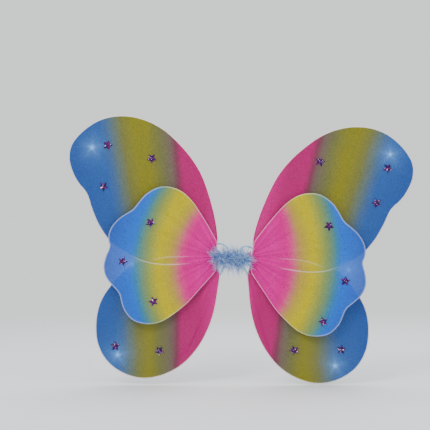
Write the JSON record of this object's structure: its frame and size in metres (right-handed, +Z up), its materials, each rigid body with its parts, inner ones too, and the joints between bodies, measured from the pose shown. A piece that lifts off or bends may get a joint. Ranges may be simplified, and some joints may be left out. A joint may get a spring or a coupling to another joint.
{
  "type": "fairy wings",
  "caption": "Costume wings of sheer banded nylon on bent wire loops, layered and hinged by their bent wires at a feather-trimmed hub, worn on elastic arm loops.",
  "frame": {"origin": "middle of the hub's flat back, the face that rests on the wearer's back", "axes": "+Z up, +X to the right as seen from the display side, and the display side with the gems and feathers faces -Y"},
  "size_m": [0.4999, 0.043, 0.3893],
  "materials": {
    "bare_wire": "drawn steel wire, satin",
    "upper_nylon": "sheer knitted nylon, dyed in bands of pink, yellow and blue",
    "lower_nylon": "sheer knitted nylon, dyed in bands of pink, yellow and blue",
    "front_nylon": "sheer knitted nylon, dyed in bands of pink, yellow and blue",
    "star_gem": "faceted acrylic, foil backed",
    "thread": "fine polyester thread",
    "binding_tape": "woven cloth tape",
    "marabou": "dyed marabou down",
    "elastic": "braided round elastic"
  },
  "bodies": {
    "root": {"wire_end_core": "bare_wire", "hub_tape": "binding_tape", "feather_trim": "marabou", "left_thread_wrap": "thread", "left_top_strap_knot": "elastic", "left_bottom_strap_knot": "elastic", "right_thread_wrap": "thread", "right_top_strap_knot": "elastic", "right_bottom_strap_knot": "elastic"},
    "left_arm_loop": {"left_arm_loop": "elastic"},
    "left_upper_wing": {"left_upper_wire": "bare_wire", "left_upper_nylon": "upper_nylon", "left_upper_gather_knot": "thread", "left_upper_star_1": "star_gem", "left_upper_star_2": "star_gem", "left_upper_star_3": "star_gem"},
    "left_lower_wing": {"left_lower_wire": "bare_wire", "left_lower_nylon": "lower_nylon", "left_lower_gather_knot": "thread", "left_lower_star_1": "star_gem", "left_lower_star_2": "star_gem"},
    "left_front_wing": {"left_front_wire": "bare_wire", "left_front_nylon": "front_nylon", "left_front_gather_knot": "thread", "left_front_star_1": "star_gem", "left_front_star_2": "star_gem", "left_front_star_3": "star_gem"},
    "right_arm_loop": {"right_arm_loop": "elastic"},
    "right_upper_wing": {"right_upper_wire": "bare_wire", "right_upper_nylon": "upper_nylon", "right_upper_gather_knot": "thread", "right_upper_star_1": "star_gem", "right_upper_star_2": "star_gem", "right_upper_star_3": "star_gem"},
    "right_lower_wing": {"right_lower_wire": "bare_wire", "right_lower_nylon": "lower_nylon", "right_lower_gather_knot": "thread", "right_lower_star_1": "star_gem", "right_lower_star_2": "star_gem"},
    "right_front_wing": {"right_front_wire": "bare_wire", "right_front_nylon": "front_nylon", "right_front_gather_knot": "thread", "right_front_star_1": "star_gem", "right_front_star_2": "star_gem", "right_front_star_3": "star_gem"}
  },
  "joints": [
    {"name": "left_wing_bend", "type": "hinge", "parent": "root", "child": "left_upper_wing", "pos_m": [-0.02, -0.005, 0], "axis": [0, 0, 1], "range_deg": [-5, 60]},
    {"name": "left_lower_bend", "type": "hinge", "parent": "left_upper_wing", "child": "left_lower_wing", "pos_m": [-0.02, -0.005, 0], "axis": [0, 0, 1], "range_deg": [-5, 0]},
    {"name": "left_front_bend", "type": "hinge", "parent": "left_upper_wing", "child": "left_front_wing", "pos_m": [-0.02, -0.005, 0], "axis": [0, 0, 1], "range_deg": [0, 15]},
    {"name": "left_arm_swing", "type": "hinge", "parent": "root", "child": "left_arm_loop", "pos_m": [-0.009, -0.0023, 0], "axis": [0, 0, -1], "range_deg": [0, 75]},
    {"name": "right_wing_bend", "type": "hinge", "parent": "root", "child": "right_upper_wing", "pos_m": [0.02, -0.005, 0], "axis": [0, 0, -1], "range_deg": [-5, 60]},
    {"name": "right_lower_bend", "type": "hinge", "parent": "right_upper_wing", "child": "right_lower_wing", "pos_m": [0.02, -0.005, 0], "axis": [0, 0, -1], "range_deg": [-5, 0]},
    {"name": "right_front_bend", "type": "hinge", "parent": "right_upper_wing", "child": "right_front_wing", "pos_m": [0.02, -0.005, 0], "axis": [0, 0, -1], "range_deg": [0, 15]},
    {"name": "right_arm_swing", "type": "hinge", "parent": "root", "child": "right_arm_loop", "pos_m": [0.009, -0.0023, 0], "axis": [0, 0, 1], "range_deg": [0, 75]}
  ]
}
